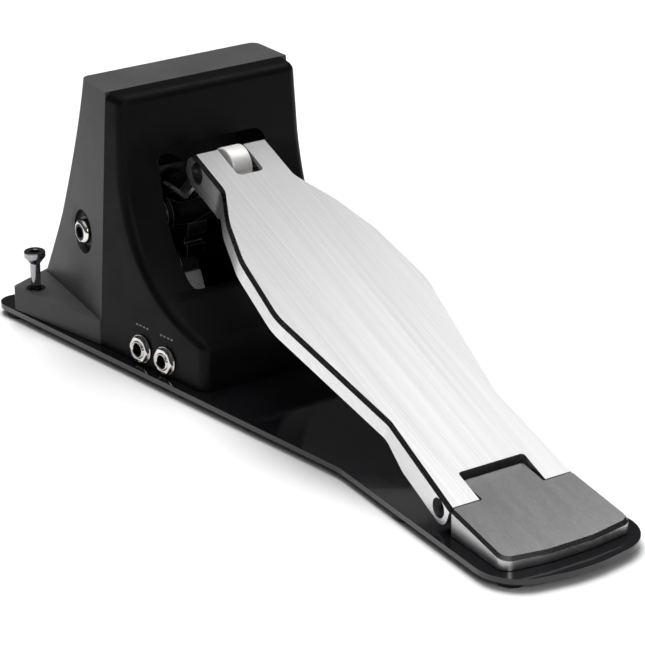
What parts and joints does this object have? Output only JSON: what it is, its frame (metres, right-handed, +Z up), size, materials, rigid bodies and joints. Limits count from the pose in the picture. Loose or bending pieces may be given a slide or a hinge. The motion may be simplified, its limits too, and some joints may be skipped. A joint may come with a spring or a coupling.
{
  "type": "sustain pedal",
  "caption": "Foot-operated trigger pedal: a hinged brushed footboard whose tip roller turns a sprung rocker and hammer against a sensor inside a low tower, on a flat base plate.",
  "frame": {"origin": "middle of the footprint at floor level, under the rubber feet", "axes": "+Y from the heel to the tower, +X to the player's right, +Z up"},
  "size_m": [0.1612, 0.4306, 0.1485],
  "materials": {
    "gloss_black_steel": "gloss",
    "grey_cast_metal": "fine satin powder coat",
    "satin_black_plastic": "satin",
    "brushed_aluminium": "brushed along the length",
    "chrome": "polished",
    "satin_steel": "satin",
    "dark_steel": "black oxide",
    "black_rubber": "matte",
    "grey_foam": "felt-faced foam",
    "brass": "turned",
    "circuit_board": "solder mask"
  },
  "bodies": {
    "stand": {"anchor_insert_left": "brass", "anchor_insert_right": "brass", "axle_bolt_left": "chrome", "axle_bolt_right": "chrome", "base_plate": "gloss_black_steel", "circuit_board": "circuit_board", "cover_screw_left": "dark_steel", "cover_screw_right": "dark_steel", "front_cover": "satin_black_plastic", "heel_block": "brushed_aluminium", "heel_screw_left": "dark_steel", "heel_screw_right": "dark_steel", "hinge_shaft": "satin_steel", "housing_screw_front_left": "dark_steel", "housing_screw_front_right": "dark_steel", "housing_screw_rear_left": "dark_steel", "housing_screw_rear_right": "dark_steel", "main_axle": "satin_steel", "mix_jack_barrel": "chrome", "mix_jack_case": "satin_black_plastic", "mix_jack_nut": "chrome", "output_jack_barrel": "chrome", "output_jack_case": "satin_black_plastic", "output_jack_nut": "chrome", "rest_stop_bracket": "dark_steel", "rest_stop_bumper": "black_rubber", "return_spring_left": "satin_steel", "return_spring_right": "satin_steel", "rubber_foot_front_left": "black_rubber", "rubber_foot_front_right": "black_rubber", "rubber_foot_middle_left": "black_rubber", "rubber_foot_middle_right": "black_rubber", "rubber_foot_rear_left": "black_rubber", "rubber_foot_rear_right": "black_rubber", "sensor_bracket": "dark_steel", "sensor_cushion": "grey_foam", "sensor_lead": "black_rubber", "sensor_plate": "brass", "sensor_screw_left": "dark_steel", "sensor_screw_right": "dark_steel", "spring_post_left": "satin_steel", "spring_post_right": "satin_steel", "tower_housing": "grey_cast_metal"},
    "footboard": {"footboard": "brushed_aluminium", "hinge_bush_left": "brass", "hinge_bush_right": "brass", "roller_pin": "satin_steel", "roller_spacer_left": "dark_steel", "roller_spacer_right": "dark_steel"},
    "tip_roller": {"tip_roller": "satin_steel"},
    "rocker": {"rocker": "dark_steel", "rocker_bearing_left": "satin_steel", "rocker_bearing_right": "satin_steel", "spring_crossbar": "satin_steel", "hammer_weight": "chrome", "beater_pad": "black_rubber", "yoke_bracket": "chrome"},
    "anchor_bolt_left": {"anchor_bolt_left": "chrome"},
    "anchor_bolt_right": {"anchor_bolt_right": "chrome"}
  },
  "joints": [
    {"name": "footboard_press", "type": "hinge", "parent": "stand", "child": "footboard", "pos_m": [0, -0.1456, 0.0171], "axis": [-1, 0, 0], "range_deg": [0, 8], "stiffness_Nm_per_rad": 20, "springref_deg": -14.32},
    {"name": "rocker_swing", "type": "hinge", "parent": "stand", "child": "rocker", "pos_m": [0, 0.1542, 0.0622], "axis": [1, 0, 0], "range_deg": [0, 28], "deforming": ["return_spring_left", "return_spring_right"]},
    {"name": "roller_spin", "type": "hinge", "parent": "footboard", "child": "tip_roller", "pos_m": [0, 0.0925, 0.1076], "axis": [1, 0, 0], "continuous": true},
    {"name": "anchor_left_screw", "type": "slide", "parent": "stand", "child": "anchor_bolt_left", "axis": [0, 0, -1], "range_m": [0, 0.012]},
    {"name": "anchor_right_screw", "type": "slide", "parent": "stand", "child": "anchor_bolt_right", "axis": [0, 0, -1], "range_m": [0, 0.012]}
  ],
  "couplings": [
    {"joint": "rocker_swing", "follows": "footboard_press", "ratio": 3.5}
  ]
}
